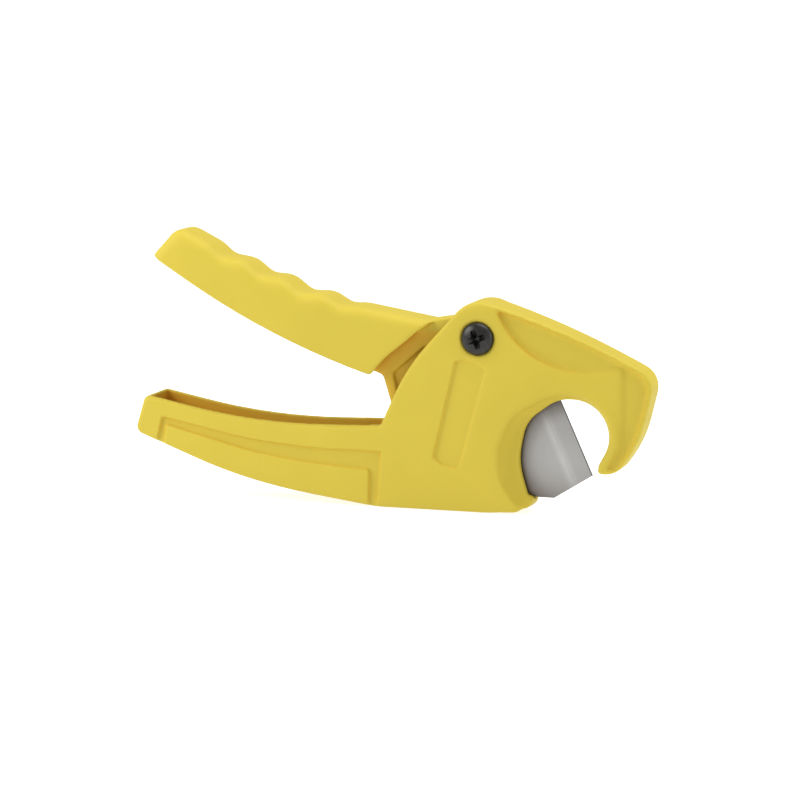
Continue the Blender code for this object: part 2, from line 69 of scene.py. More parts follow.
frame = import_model()
cad_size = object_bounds()


# ---- Camera, floor and light ----------------------------------------------------------
# The tool stands on the flat under its head on a pale tabletop, in even studio light:
# a wide soft panel overhead, weaker ones in front and to the right, and a pale room all
# round.
MM = 0.001
PIVOT = Vector(frame["joints"][0]["pos_m"])     # where the two handles turn, in metres
LENS_MM = 136.7
SENSOR_MM = 36.0
CAMERA_DISTANCE = 1.2
NEAR_LIMIT = 0.05
CAMERA_TURN = math.radians(18.0)
CAMERA_RISE = math.radians(9.0)
CAMERA_AIM = PIVOT + Vector((-34.71, 0.0, -27.15)) * MM
FLOOR_HALF = 30.0
FLOOR_DROP = 0.0002        # keeps the tabletop just clear of the flat that stands on it
FLOOR_COLOUR = (0.50, 0.50, 0.50, 1.0)
FLOOR_GLOW = 0.78          # the tabletop is lit from below, like a light table
ROOM_COLOUR = (1.0, 1.0, 1.0, 1.0)
ROOM_STRENGTH = 0.48
# Each panel faces the tool: name, place from the camera's aim in metres, size, watts, tint.
PANELS = (
    ("overhead_panel", (0.25, 0.05, 0.90), 0.9, 9.0, (1.0, 0.99, 0.97)),
    ("side_panel", (0.90, -0.10, 0.25), 0.5, 2.0, (1.0, 0.99, 0.97)),
    ("front_panel", (-0.45, -0.30, 0.30), 0.40, 2.6, (1.0, 0.99, 0.98)),
)

camera_data = bpy.data.cameras.new("camera")
camera_data.lens = LENS_MM
camera_data.sensor_width = SENSOR_MM
camera_data.clip_start = NEAR_LIMIT
camera = bpy.data.objects.new("camera", camera_data)
bpy.context.scene.collection.objects.link(camera)
towards_camera = Vector((math.sin(CAMERA_TURN) * math.cos(CAMERA_RISE),
                         -math.cos(CAMERA_TURN) * math.cos(CAMERA_RISE),
                         math.sin(CAMERA_RISE)))
camera.location = CAMERA_AIM + towards_camera * CAMERA_DISTANCE
camera.rotation_euler = towards_camera.to_track_quat("Z", "Y").to_euler()
bpy.context.scene.camera = camera

floor_mesh = bpy.data.meshes.new("floor")
floor_corners = [(-FLOOR_HALF, -FLOOR_HALF, 0), (FLOOR_HALF, -FLOOR_HALF, 0),
                 (FLOOR_HALF, FLOOR_HALF, 0), (-FLOOR_HALF, FLOOR_HALF, 0)]
floor_mesh.from_pydata(floor_corners, [], [(0, 1, 2, 3)])
floor = bpy.data.objects.new("floor", floor_mesh)
bpy.context.scene.collection.objects.link(floor)
floor.location.z = cad_size[0][2] - FLOOR_DROP
floor_paint = bpy.data.materials.new("pale_tabletop")
floor_paint.use_nodes = True
floor_shader = floor_paint.node_tree.nodes["Principled BSDF"]
floor_shader.inputs["Base Color"].default_value = FLOOR_COLOUR
floor_shader.inputs["Roughness"].default_value = 0.9
floor_shader.inputs["Specular IOR Level"].default_value = 0.1
floor_shader.inputs["Emission Color"].default_value = ROOM_COLOUR
floor_shader.inputs["Emission Strength"].default_value = FLOOR_GLOW
floor_mesh.materials.append(floor_paint)

for name, place, size, watts, tint in PANELS:
    light = bpy.data.lights.new(name, "AREA")
    light.shape = "DISK"
    light.size = size
    light.energy = watts
    light.color = tint
    panel = bpy.data.objects.new(name, light)
    bpy.context.scene.collection.objects.link(panel)
    panel.location = CAMERA_AIM + Vector(place)
    panel.rotation_euler = Vector(place).to_track_quat("Z", "Y").to_euler()

room = bpy.data.worlds.new("white_room")
room.use_nodes = True
room.node_tree.nodes["Background"].inputs["Color"].default_value = ROOM_COLOUR
room.node_tree.nodes["Background"].inputs["Strength"].default_value = ROOM_STRENGTH
bpy.context.scene.world = room
bpy.context.scene.view_settings.view_transform = "Standard"
bpy.context.scene.view_settings.look = "None"


# ---- Body -----------------------------------------------------------------------------
# One injection moulding in yellow nylon: hook jaw, head with the carrier's cavity and the
# channel handle. Its corners are rounded by the mould, and its faces have a fine spark
# texture with an uneven gloss. The pivot screw passes through both cheeks of the head.
class Signal:
    """A socket of a material's node tree; Python's operators add the nodes of a formula."""

    def __init__(self, material, socket):
        self.material = material
        self.socket = socket

    def node(self, kind, settings=None, inputs=None, output=0):
        """Any node: its type, the settings made first, its sockets' values or links."""
        node = self.material.node_tree.nodes.new(kind)
        for key, value in (settings or {}).items():
            setattr(node, key, value)
        for key, value in (inputs or {}).items():
            if isinstance(value, Signal):
                self.material.node_tree.links.new(value.socket, node.inputs[key])
            else:
                node.inputs[key].default_value = value
        return Signal(self.material, node.outputs[output])

    def maths(self, operation, *values):
        return self.node("ShaderNodeMath", {"operation": operation}, dict(enumerate(values)))

    def __add__(self, other):
        return self.maths("ADD", self, other)

    def __mul__(self, other):
        return self.maths("MULTIPLY", self, other)

    def __sub__(self, other):
        return self.maths("SUBTRACT", self, other)

    def __rsub__(self, other):
        return self.maths("SUBTRACT", other, self)

    def __abs__(self):
        return self.maths("ABSOLUTE", self)

    __radd__ = __add__
    __rmul__ = __mul__

    def axis(self, index):
        """One coordinate, 0 for x to 2 for z."""
        return self.node("ShaderNodeSeparateXYZ", {}, {0: self}, output=index)

    def step(self, low, high):
        """0 below low, 1 above high, smooth between."""
        return self.node("ShaderNodeMapRange", {"interpolation_type": "SMOOTHSTEP"},
                         {"Value": self, "From Min": low, "From Max": high})

    def mix(self, first, second):
        """Two colours blended by this value."""
        return self.node("ShaderNodeMix", {"data_type": "RGBA"},
                         {"Factor": self, 6: first, 7: second}, output=2)


def new_material(name, colour, roughness, metallic=0.0, **extra):
    """A Principled material, and its shader and object coordinates in millimetres."""
    material = bpy.data.materials.new(name)
    material.use_nodes = True
    material.diffuse_color = (*colour, 1.0)
    shader = material.node_tree.nodes["Principled BSDF"]
    shader.inputs["Base Color"].default_value = (*colour, 1.0)
    shader.inputs["Roughness"].default_value = roughness
    shader.inputs["Metallic"].default_value = metallic
    for key, value in extra.items():
        shader.inputs[key.replace("_", " ")].default_value = value
    base = Signal(material, None)
    place = base.node("ShaderNodeTexCoord", output=3)
    millimetres = base.node("ShaderNodeVectorMath", {"operation": "SCALE"},
                            {0: place, "Scale": 1000.0})
    return material, shader, millimetres


def noise(place, size_mm, detail, stretch=(1.0, 1.0, 1.0), seed=0.0):
    """Cloudy value from 0 to 1 with features of about size_mm."""
    scaled = place.node("ShaderNodeVectorMath", {"operation": "MULTIPLY"},
                        {0: place, 1: tuple(s / size_mm for s in stretch)})
    return place.node("ShaderNodeTexNoise", {"noise_dimensions": "4D"},
                      {"Vector": scaled, "W": seed, "Scale": 1.0, "Detail": detail})


def connect(value, shader, socket):
    value.material.node_tree.links.new(value.socket, shader.inputs[socket])


HOLLOW_REACH = 0.030    # metres over which painted shade deepens the plastic's colour in a hollow
HOLLOW_SHARES = (0.25, 0.95)    # openness where the colour is all painted shade, and all plain
PALER = 1.05            # how much paler the flow clouds are


def moulded_plastic(name, colour, hollow_shade_colour, seed, shaded=None):
    """Yellow nylon: paler flow clouds, spark texture, uneven gloss, and painted shade in its
    hollows, a deeper orange for light that has passed through the plastic more than once.
    shaded gives the share of open surface left at a place, as more painted shade, for
    parts that lie inside the tool."""
    material, shader, place = new_material(name, colour, 0.4, Specular_IOR_Level=0.22)
    clouds = noise(place, 26.0, 3.0, seed=seed)
    fine = noise(place, 0.55, 2.0, seed=seed + 3.0)
    smudges = noise(place, 9.0, 4.0, seed=seed + 7.0)
    # painted shade: ambient occlusion blends the hollow shade colour into the base colour
    openness = place.node("ShaderNodeAmbientOcclusion", {"samples": 8, "only_local": True},
                          {"Distance": HOLLOW_REACH}, output=1)
    open_share = openness.step(*HOLLOW_SHARES)
    if shaded:
        open_share = open_share * shaded(place)
    tone = (clouds * 0.8 + fine * 0.2).step(0.30, 0.72)
    pale = tuple(channel * PALER for channel in colour)
    face = tone.mix((*colour, 1.0), (*pale, 1.0))
    connect(open_share.mix((*hollow_shade_colour, 1.0), face), shader, "Base Color")
    connect(0.50 + smudges * 0.14 + fine * 0.05, shader, "Roughness")
    grain = noise(place, 0.32, 2.0, seed=seed + 5.0)
    waves = noise(place, 6.0, 1.0, seed=seed + 9.0)
    bump = place.node("ShaderNodeBump", {}, {"Strength": 0.25, "Distance": 0.00010,
                                             "Height": grain * 0.35 + waves * 0.65})
    connect(bump, shader, "Normal")
    return material


CHORD_ERROR = 0.03      # how far a facet may lie inside its arc
MAX_STEP = math.radians(15)
LEAST_TURN = 1e-4       # a corner that turns less than this is straight
LEAST_RADIUS = 0.2      # smaller arcs are stepped like this one


def rounded_outline(corners):
    """Points of a closed outline whose corners (x, z, radius) are rounded by arcs."""
    points = []
    for i, (x, z, radius) in enumerate(corners):
        corner = Vector((x, z))
        back = (Vector(corners[i - 1][:2]) - corner).normalized()
        ahead = (Vector(corners[(i + 1) % len(corners)][:2]) - corner).normalized()
        turn = math.pi - back.angle(ahead)
        if radius <= 0 or turn < LEAST_TURN:
            points.append(corner)
            continue
        step = min(MAX_STEP, 2 * math.acos(1 - CHORD_ERROR / max(radius, LEAST_RADIUS)))
        steps = max(1, math.ceil(turn / step))
        centre = corner + (back + ahead).normalized() * (radius / math.cos(turn / 2))
        first = corner + back * (radius * math.tan(turn / 2)) - centre
        side = math.copysign(1, back.cross(ahead))
        for k in range(steps + 1):
            points.append(centre + Matrix.Rotation(-side * turn * k / steps, 2) @ first)
    return points


def along(table, at):
    """Straight-line reading of a table of (place, value) pairs."""
    for (a, value_a), (b, value_b) in zip(table, table[1:]):
        if at <= b:
            return value_a + (value_b - value_a) * max(0.0, (at - a) / (b - a))
    return table[-1][1]


def solid(name, mesh_data):
    """An object that holds a bmesh, still in millimetres from the pivot."""
    bmesh.ops.recalc_face_normals(mesh_data, faces=mesh_data.faces)
    mesh = bpy.data.meshes.new(name)
    mesh_data.to_mesh(mesh)
    mesh_data.free()
    piece = bpy.data.objects.new(name, mesh)
    bpy.context.scene.collection.objects.link(piece)
    return piece


WELD_DISTANCE = 0.03
FLAT_ANGLE = math.radians(0.03)


def slab(name, points, half, rounding=0.0, middle=0.0):
    """An outline extruded to both sides of y = middle, its edges rounded."""
    curve = bpy.data.curves.new(name, "CURVE")
    curve.dimensions = "2D"
    curve.fill_mode = "BOTH"
    curve.extrude = half - rounding
    curve.bevel_depth = rounding
    curve.offset = -rounding
    curve.bevel_resolution = 2
    spline = curve.splines.new("POLY")
    spline.points.add(len(points) - 1)
    for spline_point, point in zip(spline.points, points):
        spline_point.co = (point.x, point.y, 0.0, 1.0)
    spline.use_cyclic_u = True
    shape = bpy.data.objects.new(name, curve)
    bpy.context.scene.collection.objects.link(shape)
    bpy.context.view_layer.update()
    mesh = bpy.data.meshes.new_from_object(
        shape.evaluated_get(bpy.context.evaluated_depsgraph_get()))
    bpy.data.objects.remove(shape)
    mesh_data = bmesh.new()
    mesh_data.from_mesh(mesh)
    bpy.data.meshes.remove(mesh)
    stand = Matrix.Translation((0, middle, 0)) @ Matrix.Rotation(math.pi / 2, 4, "X")
    bmesh.ops.transform(mesh_data, matrix=stand, verts=mesh_data.verts)
    bmesh.ops.remove_doubles(mesh_data, verts=mesh_data.verts, dist=WELD_DISTANCE)
    bmesh.ops.dissolve_limit(mesh_data, angle_limit=FLAT_ANGLE,
                             verts=mesh_data.verts, edges=mesh_data.edges)
    return solid(name, mesh_data)


def rod(name, radius, y_from, y_to, sides=64, turn=0.0):
    """A cylinder or regular prism along the pivot's axis."""
    mesh_data = bmesh.new()
    bmesh.ops.create_cone(mesh_data, cap_ends=True, segments=sides, radius1=radius,
                          radius2=radius, depth=y_to - y_from)
    lay = Matrix.Rotation(math.pi / 2, 4, "X") @ Matrix.Rotation(turn, 4, "Z")
    middle = Matrix.Translation((0, (y_from + y_to) / 2, 0))
    bmesh.ops.transform(mesh_data, matrix=middle @ lay, verts=mesh_data.verts)
    return solid(name, mesh_data)


def block(name, low, high):
    mesh_data = bmesh.new()
    bmesh.ops.create_cube(mesh_data, size=1.0)
    bmesh.ops.scale(mesh_data, vec=[b - a for a, b in zip(low, high)], verts=mesh_data.verts)
    bmesh.ops.translate(mesh_data, vec=[(a + b) / 2 for a, b in zip(low, high)],
                        verts=mesh_data.verts)
    return solid(name, mesh_data)


def narrowed(piece, table):
    """Scale a slab's width along x by a table of half widths."""
    mesh_data = bmesh.new()
    mesh_data.from_mesh(piece.data)
    for x, _ in table[:-1]:
        bmesh.ops.bisect_plane(
            mesh_data, geom=mesh_data.verts[:] + mesh_data.edges[:] + mesh_data.faces[:],
            plane_co=(x, 0, 0), plane_no=(1, 0, 0), dist=1e-4)
    for vertex in mesh_data.verts:
        vertex.co.y *= along(table, vertex.co.x) / BODY_HALF
    bmesh.ops.triangulate(mesh_data, faces=mesh_data.faces)
    mesh_data.to_mesh(piece.data)
    mesh_data.free()
    return piece


def cut(piece, tools, operation="DIFFERENCE"):
    """Take the tools' shapes out of a piece, or join them on, and remove the tools."""
    for tool in tools:
        change = piece.modifiers.new(tool.name, "BOOLEAN")
        change.operation = operation
        change.object = tool
    bpy.context.view_layer.update()
    mesh = bpy.data.meshes.new_from_object(
        piece.evaluated_get(bpy.context.evaluated_depsgraph_get()))
    piece.modifiers.clear()
    piece.data = mesh
    for tool in tools:
        bpy.data.objects.remove(tool)
    return piece


CUTTER_HALF = 14.0      # half width to which side cutters reach, clear of the body


def on_both_sides(name, points, half_from):
    """Two slabs that cut into both sides of a piece, down to a half width."""
    middle = (half_from + CUTTER_HALF) / 2
    return [slab(f"{name}_{side}", points, (CUTTER_HALF - half_from) / 2, middle=side * middle)
            for side in (-1, 1)]


VOXEL = 0.45            # millimetres, the grain of the remeshed skin
EASE_ALL = 4            # rounds of smoothing that every edge gets
SOFT_LEVELS = 8
KEPT_SHARE = 0.35       # share of the faces that stays after thinning


def moulded_skin(piece, softness, rounds):
    """A fine even mesh over a solid in millimetres, its corners eased: everywhere a little,
    and for more rounds where softness gives 1 for a point's (x, y, z)."""
    remesh = piece.modifiers.new("remesh", "REMESH")
    remesh.mode = "VOXEL"
    remesh.voxel_size = VOXEL
    remesh.use_smooth_shade = True
    bpy.context.view_layer.update()
    fine = bpy.data.meshes.new_from_object(
        piece.evaluated_get(bpy.context.evaluated_depsgraph_get()))
    piece.modifiers.clear()
    piece.data = fine
    places = np.empty(len(fine.vertices) * 3)
    fine.vertices.foreach_get("co", places)
    levels = np.rint(softness(*places.reshape(-1, 3).T) * SOFT_LEVELS).astype(int)
    group = piece.vertex_groups.new(name="soft")
    for level in range(1, SOFT_LEVELS + 1):
        members = [int(i) for i in np.flatnonzero(levels == level)]
        group.add(members, level / SOFT_LEVELS, "REPLACE")
    for name, count in (("ease_all", EASE_ALL), ("ease_soft", rounds)):
        ease = piece.modifiers.new(name, "SMOOTH")
        ease.factor = 0.5
        ease.iterations = count
        if name == "ease_soft":
            ease.vertex_group = "soft"
    thin = piece.modifiers.new("thin", "DECIMATE")
    thin.ratio = KEPT_SHARE
    bpy.context.view_layer.update()
    mesh = bpy.data.meshes.new_from_object(
        piece.evaluated_get(bpy.context.evaluated_depsgraph_get()))
    piece.modifiers.clear()
    piece.vertex_groups.clear()
    mesh.transform(Matrix.Translation(PIVOT) @ Matrix.Scale(MM, 4))
    mesh.shade_smooth()
    piece.data = mesh
    return piece


def ramp(values, low, high):
    """0 below low, 1 above high, smooth between, for arrays."""
    share = np.clip((values - low) / (high - low), 0.0, 1.0)
    return share * share * (3.0 - 2.0 * share)


# Outlines are in millimetres from the pivot, x towards the hook and z up, each corner with
# its radius. The tables below them give half widths, or widths, along the piece.
BODY_HALF = 11.0
HEAD_HALF = 10.2        # half width of the head at the pivot
EDGE_ROUND = 1.6
JAW_ROUND = 1.5
BODY_TAPER = ((-38.0, BODY_HALF), (0.0, HEAD_HALF), (20.0, 9.8), (53.0, 6.4), (75.0, 4.6))
JAW_TAPER = ((2.0, 9.8), (22.0, 8.6), (50.0, 7.2), (75.0, 6.6))
HANDLE_BOTTOM = (
    (-42.0, -68.6, 40), (-78.6, -63.9, 250), (-104.3, -58.3, 200), (-143.9, -43.5, 3.2),
)
HANDLE_TOP = ((-139.3, -28.4, 2.6), (-91.4, -37.8, 260))
HEAD_LINE = ((-39.6, -36.0, 1.5), (-29.2, -12.8, 80), (-3.2, 16.1, 13))
MOUTH = (
    (46.2, -50.1, 0), (51.1, -40.8, 13), (51.1, -23.1, 14.4), (30.6, -23.1, 14.4),
    (17.8, -32.5, 14), (14.6, -48.5, 27), (18.6, -61.6, 1.0),
)
SHELL = HANDLE_BOTTOM + HANDLE_TOP + HEAD_LINE + (
    (6.2, 13.3, 2.2), (20.0, -21.4, 37.4), (57.0, -8.6, 2.0),
    (57.4, -30.0, 18), (56.4, -42.0, 2.2), (51.4, -42.0, 2.2), (52.5, -33.0, 10),
    (51.0, -22.0, 9), (27.0, -22.0, 10), (16.2, -30.8, 8), (13.4, -48.0, 20),
    (16.8, -59.0, 3), (17.4, -67.9, 2.2), (4.0, -68.6, 50),
)
JAW = (
    (2.0, 13.5, 0), (6.0, 13.2, 0), (35.8, 4.1, 340), (70.1, -12.8, 9), (64.0, -38.0, 45),
    (54.9, -51.5, 9), (45.3, -51.5, 2.2),
) + MOUTH[1:] + ((21.8, -62.4, 1.5), (20.2, -66.2, 1.5), (2.0, -68.0, 0))
JAW_RECESS = (
    (0.0, 11.9, 0), (6.0, 11.5, 0), (35.0, 2.4, 340), (68.0, -13.9, 8), (62.3, -37.6, 45),
    (54.6, -50.0, 2), (50.2, -49.4, 1), (55.2, -40.8, 13), (55.2, -20.0, 16), (0.0, -20.0, 0),
)
RECESS_HALF = 7.5       # half width between the jaw's side recesses at the pivot
RECESS_SLOPE = 0.045
CAVITY_HALF = 6.6
CAVITY = (
    (-52.0, -65.6, 0), (-52.0, 4.4, 0), (-25.0, 6.0, 10), (-6.5, 8.9, 9), (9.0, 9.0, 9),
    (9.0, -1.0, 4), (13.6, -12.0, 14), (13.2, -24.5, 10), (7.0, -41.5, 12),
    (7.0, -50.0, 10), (10.0, -65.6, 3),
)
CHANNEL_HALF = 8.6
CHANNEL = (
    (-44.5, -65.6, 0), (-78.2, -60.8, 250), (-103.4, -55.0, 200), (-139.6, -41.2, 2),
    (-135.2, -20.0, 0), (-44.5, -20.0, 0),
)
RIBS_X = (-112.0, -86.0, -60.0)
RIB_HALF = 0.8
RIB_SINK = 1.0          # how far a rib runs into the walls that it ties
RIB_HEIGHT = 10.0
CHANNEL_EDGE = ((-143.0, -43.5), (-104.3, -58.0), (-78.6, -63.8), (-42.0, -68.6))
HEAD_PANEL = ((-8.9, -9.0, 0.8), (-2.5, -7.6, 13), (3.6, -11.7, 0.8), (-7.2, -51.2, 0.8),
              (-12.6, -52.0, 10), (-17.9, -47.6, 0.8))
PANEL_DEPTH = 0.8
GRIP_GROOVE = (
    (-131.8, -36.9, 0.6), (-93.8, -44.3, 150), (-66.0, -46.4, 150), (-38.9, -46.2, 0.6),
    (-41.3, -75.0, 0), (-44.9, -75.0, 0), (-44.1, -54.0, 0.8), (-71.9, -52.2, 150),
    (-93.8, -49.2, 150), (-130.2, -40.2, 0.6), (-131.7, -60.0, 0), (-137.4, -60.0, 0),
)
GROOVE_DEPTH = 1.3
# The blade's slot ends on an arc round the pivot, just clear of the blade's swinging tip.
SLOT_HALF = 1.1
BLADE_SLOT = ((-20.0, -1.5, 0), (9.0, -1.5, 0), (31.8, -5.0, 1), (59.6, -36.4, 0))
TIP_ARC_RADIUS = 70.6
TIP_ARC_ANGLES = [math.radians(-31.7 - 2.0 * step) for step in range(9)]
SLOT_END = ((46.0, -58.0), (30.0, -63.2), (-20.0, -63.2))
SCREW_HOLE_RADIUS = 3.3
SCREW_SEAT_RADIUS = 6.8
SCREW_SEAT_DEPTH = 1.0
NUT_POCKET_RADIUS = 6.12
NUT_POCKET_DEPTH = 2.4
HOLE_END = 16.0         # where the drills end, clear of the head
SPRING_NOTCH = ((4.5, 4.9, 5.0), (6.3, CAVITY_HALF, 10.4))
# The cove round the mouth: share of its width and half width of the jaw there, then its
# width at shares of the way along the mouth, from the hook's tip to the lip. In the middle
# its cutter stands a little inside the mouth.
COVE_INSIDE = 0.3
COVE_PROFILE = ((0.0, 4.0), (0.4, 4.5), (0.7, 5.6), (0.9, 7.2), (1.0, 8.6), (1.1, 12.5))
COVE_WIDTH = ((0.0, 1.2), (0.12, 1.8), (0.28, 2.2), (0.40, 2.8), (0.54, 3.2), (0.66, 5.2),
              (0.78, 7.2), (0.92, 7.0), (1.0, 4.6))


def mouth_cove():
    """Cutter for the hollowed edges of the mouth: rings lofted outwards to each side."""
    corners = rounded_outline(MOUTH)
    edge = [corners[0]] + [(a + b) / 2 for a, b in zip(corners, corners[1:])] + [corners[-1]]
    length = [0.0]
    for a, b in zip(edge, edge[1:]):
        length.append(length[-1] + (b - a).length)
    mesh_data = bmesh.new()
    rings = []
    levels = [(share, -half) for share, half in reversed(COVE_PROFILE)] + list(COVE_PROFILE)
    for share, y in levels:
        ring = []
        for i, point in enumerate(edge):
            ahead = (edge[min(i + 1, len(edge) - 1)] - edge[max(i - 1, 0)]).normalized()
            reach = share * along(COVE_WIDTH, length[i] / length[-1]) or -COVE_INSIDE
            ring.append(mesh_data.verts.new((point.x + ahead.y * reach, y,
                                             point.y - ahead.x * reach)))
        rings.append(ring)
    for ring, following in zip(rings, rings[1:]):
        for i in range(len(edge)):
            j = (i + 1) % len(edge)
            mesh_data.faces.new((ring[i], ring[j], following[j], following[i]))
    mesh_data.faces.new(rings[0])
    mesh_data.faces.new(rings[-1])
    bmesh.ops.triangulate(mesh_data, faces=mesh_data.faces)
    return solid("mouth_cove", mesh_data)


def body_solid():
    jaw = slab("moulded_body", rounded_outline(JAW), BODY_HALF, JAW_ROUND)
    narrowed(jaw, JAW_TAPER)
    recesses = on_both_sides("jaw_recess", rounded_outline(JAW_RECESS), RECESS_HALF)
    for recess, side in zip(recesses, (1, -1)):
        recess.rotation_euler.z = side * math.atan(RECESS_SLOPE)
    cut(jaw, recesses)
    shell = slab("shell", rounded_outline(SHELL), BODY_HALF, EDGE_ROUND)
    body = cut(jaw, [narrowed(shell, BODY_TAPER)], "UNION")
    cut(body, [slab("channel", rounded_outline(CHANNEL), CHANNEL_HALF),
               slab("cavity", rounded_outline(CAVITY), CAVITY_HALF)])
    ribs = []
    for x in RIBS_X:
        edge = along(CHANNEL_EDGE, x)
        reach = CHANNEL_HALF + RIB_SINK
        ribs.append(block(f"rib_{x:.0f}", (x - RIB_HALF, -reach, edge + RIB_SINK),
                          (x + RIB_HALF, reach, edge + RIB_HEIGHT)))
    cut(body, ribs, "UNION")
    slot = rounded_outline(BLADE_SLOT)
    for angle in TIP_ARC_ANGLES:
        slot.append(Vector((math.cos(angle), math.sin(angle))) * TIP_ARC_RADIUS)
    slot += [Vector(point) for point in SLOT_END]
    seat = SCREW_SEAT_DEPTH - HEAD_HALF
    nut_floor = HEAD_HALF - NUT_POCKET_DEPTH
    return cut(body, [
        mouth_cove(), slab("blade_slot", slot, SLOT_HALF),
        *on_both_sides("head_panel", rounded_outline(HEAD_PANEL), HEAD_HALF - PANEL_DEPTH),
        *on_both_sides("grip_groove", rounded_outline(GRIP_GROOVE), BODY_HALF - GROOVE_DEPTH),
        rod("screw_hole", SCREW_HOLE_RADIUS, -HOLE_END, HOLE_END),
        rod("screw_seat", SCREW_SEAT_RADIUS, -HOLE_END, seat),
        rod("nut_pocket", NUT_POCKET_RADIUS, nut_floor, HOLE_END, sides=6, turn=math.radians(30)),
        block("spring_notch", *SPRING_NOTCH)])


# Where the softening sets in and where it is full, in millimetres from the pivot.
CLEAR_OF_SEAT = (8.2, 11.0)
JAW_FROM_X = (2.0, 8.0)
JAW_FROM_SIDE = (2.2, 4.2)
DOME_FROM_X = (-12.0, 0.0)
DOME_FROM_Z = (4.0, 9.0)
DOME_FROM_SIDE = (7.0, 8.5)
BODY_ROUNDS = 45


def body_softness(x, y, z):
    """The jaw, the mouth and the crescent are blended softly; screw seat and lines stay."""
    clear_of_seat = ramp(np.hypot(x, z), *CLEAR_OF_SEAT)
    jaw = ramp(x, *JAW_FROM_X) * ramp(np.abs(y), *JAW_FROM_SIDE) * clear_of_seat
    dome = ramp(z, *DOME_FROM_Z) * ramp(x, *DOME_FROM_X) * clear_of_seat
    return np.maximum(jaw, dome * ramp(np.abs(y), *DOME_FROM_SIDE))


BODY_YELLOW = (0.492, 0.388, 0.041)
# painted shade: the orange that hollows and the carrier are blended towards
PAINTED_HOLLOW_ORANGE = (0.600, 0.310, 0.018)
nylon = moulded_plastic("moulded_yellow_nylon", BODY_YELLOW, PAINTED_HOLLOW_ORANGE, 1.0)

body = moulded_skin(body_solid(), body_softness, BODY_ROUNDS)
body.data.materials.clear()
body.data.materials.append(nylon)
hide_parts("body")
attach(body, "body")


# ---- Squeeze handle -------------------------------------------------------------------
# The second moulding, in the same nylon: a hollow grip with four finger grooves, and the
# carrier that holds the blade between the body's cheeks.
GRIP_BACK = ((-125.0, 37.0), (-106.5, 28.0), (-56.0, 10.2), (-24.0, 6.0))
GRIP_FROM = (16.0, 26.0)        # from the pivot, where the softening sets in and is full
BACK_FROM = (-9.0, -4.0)        # the same, from the line of the grip's back
SKIRT_SOFTNESS = 0.3
HANDLE_ROUNDS = 80
# The carrier between the body's cheeks is darkened by painted shade.
CARRIER_SIDE = (5.8, 6.2)       # half widths that part the carrier from the grip's skirt
CARRIER_END_X = (-50.0, -48.0)
CARRIER_TOP_Z = (0.5, 2.5)
CARRIER_SHADE = 0.5


def handle_softness(x, y, z):
    """The grip's rounded back is softer than its skirt, and the carrier stays crisp."""
    back = np.interp(x, *zip(*GRIP_BACK))
    softer = (1.0 - SKIRT_SOFTNESS) * ramp(z - back, *BACK_FROM)
    return ramp(-x, *GRIP_FROM) * (SKIRT_SOFTNESS + softer)


def painted_carrier_shade(place):
    """Painted shade: less than 1 on the carrier, which lies between the body's cheeks, and 1
    elsewhere.
    """
    inner = 1.0 - abs(place.axis(1)).step(*CARRIER_SIDE)
    front = (place.axis(0) - PIVOT.x / MM).step(*CARRIER_END_X)
    low = 1.0 - (place.axis(2) - PIVOT.z / MM).step(*CARRIER_TOP_Z)
    return 1.0 - inner * front * low * CARRIER_SHADE


# painted shade in the hollows and on the carrier
grip_nylon = moulded_plastic("grip_yellow_nylon", BODY_YELLOW, PAINTED_HOLLOW_ORANGE, 4.0, painted_carrier_shade)
handle = bpy.data.objects.new("squeeze_handle", frame["nodes"]["upper_handle"].data.copy())
bpy.context.scene.collection.objects.link(handle)
handle.data.transform(Matrix.Scale(1.0 / MM, 4) @ Matrix.Translation(-PIVOT))
moulded_skin(handle, handle_softness, HANDLE_ROUNDS)
handle.data.materials.clear()
handle.data.materials.append(grip_nylon)
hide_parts("upper_handle")
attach(handle, "lever")


# ---- Blade ----------------------------------------------------------------------------
# A flat blade of hardened steel, ground on both sides to its edge and honed there. The
# grinding leaves a brighter line where the bevel starts, and fine lines along the blade.
# Where it comes out of the body's slot, and in the hollow there, it is darkened by painted shade.
STEEL_GREY = (0.34, 0.336, 0.33)
BEVEL_GREY = (0.36, 0.357, 0.35)
BRIGHT_GREY = (0.46, 0.457, 0.45)
HONED_GREY = (0.10, 0.10, 0.10)
SHADED_GREY = (0.10, 0.085, 0.07)
EDGE_TIP = Vector((44.1, -53.0))
EDGE_HEEL = Vector((27.2, -15.5))
BEVEL_WIDTH = 8.2
BEVEL_LINE = (BEVEL_WIDTH - 1.6, BEVEL_WIDTH + 0.3)
STREAK_WIDTH = (0.2, 3.0)
HONED_WIDTH = (0.25, 0.65)
SLOT_ARC = Vector((39.0, -47.0))    # middle of the arc along which the blade leaves the body
SLOT_SHADE_REACH = (16.5, 26.0)           # from there, where the painted shade begins and is full
SLOT_HOLLOW_SHADE_REACH = 0.022              # metres over which painted shade darkens the blade in the slot's hollow

ground, ground_shader, place = new_material("ground_steel", STEEL_GREY, 0.34, 0.85)
edge_run = (EDGE_HEEL - EDGE_TIP).normalized()
inwards = Vector((-edge_run.y, edge_run.x))
pivot_mm = PIVOT / MM
start = inwards.dot(EDGE_TIP + Vector((pivot_mm.x, pivot_mm.z)))
from_edge = place.node("ShaderNodeVectorMath", {"operation": "DOT_PRODUCT"},
                       {0: place, 1: (inwards.x, 0.0, inwards.y)}, output=1) - start
lines = noise(place, 1.0, 3.0, stretch=(0.30, 1.0, 6.0), seed=2.0)
clouds = noise(place, 7.0, 3.0, seed=6.0)
flat = from_edge.step(*BEVEL_LINE)
streak = 1.0 - abs(from_edge - BEVEL_WIDTH).step(*STREAK_WIDTH)
openness = place.node("ShaderNodeAmbientOcclusion", {"samples": 8},
                      {"Distance": SLOT_HOLLOW_SHADE_REACH}, output=1)
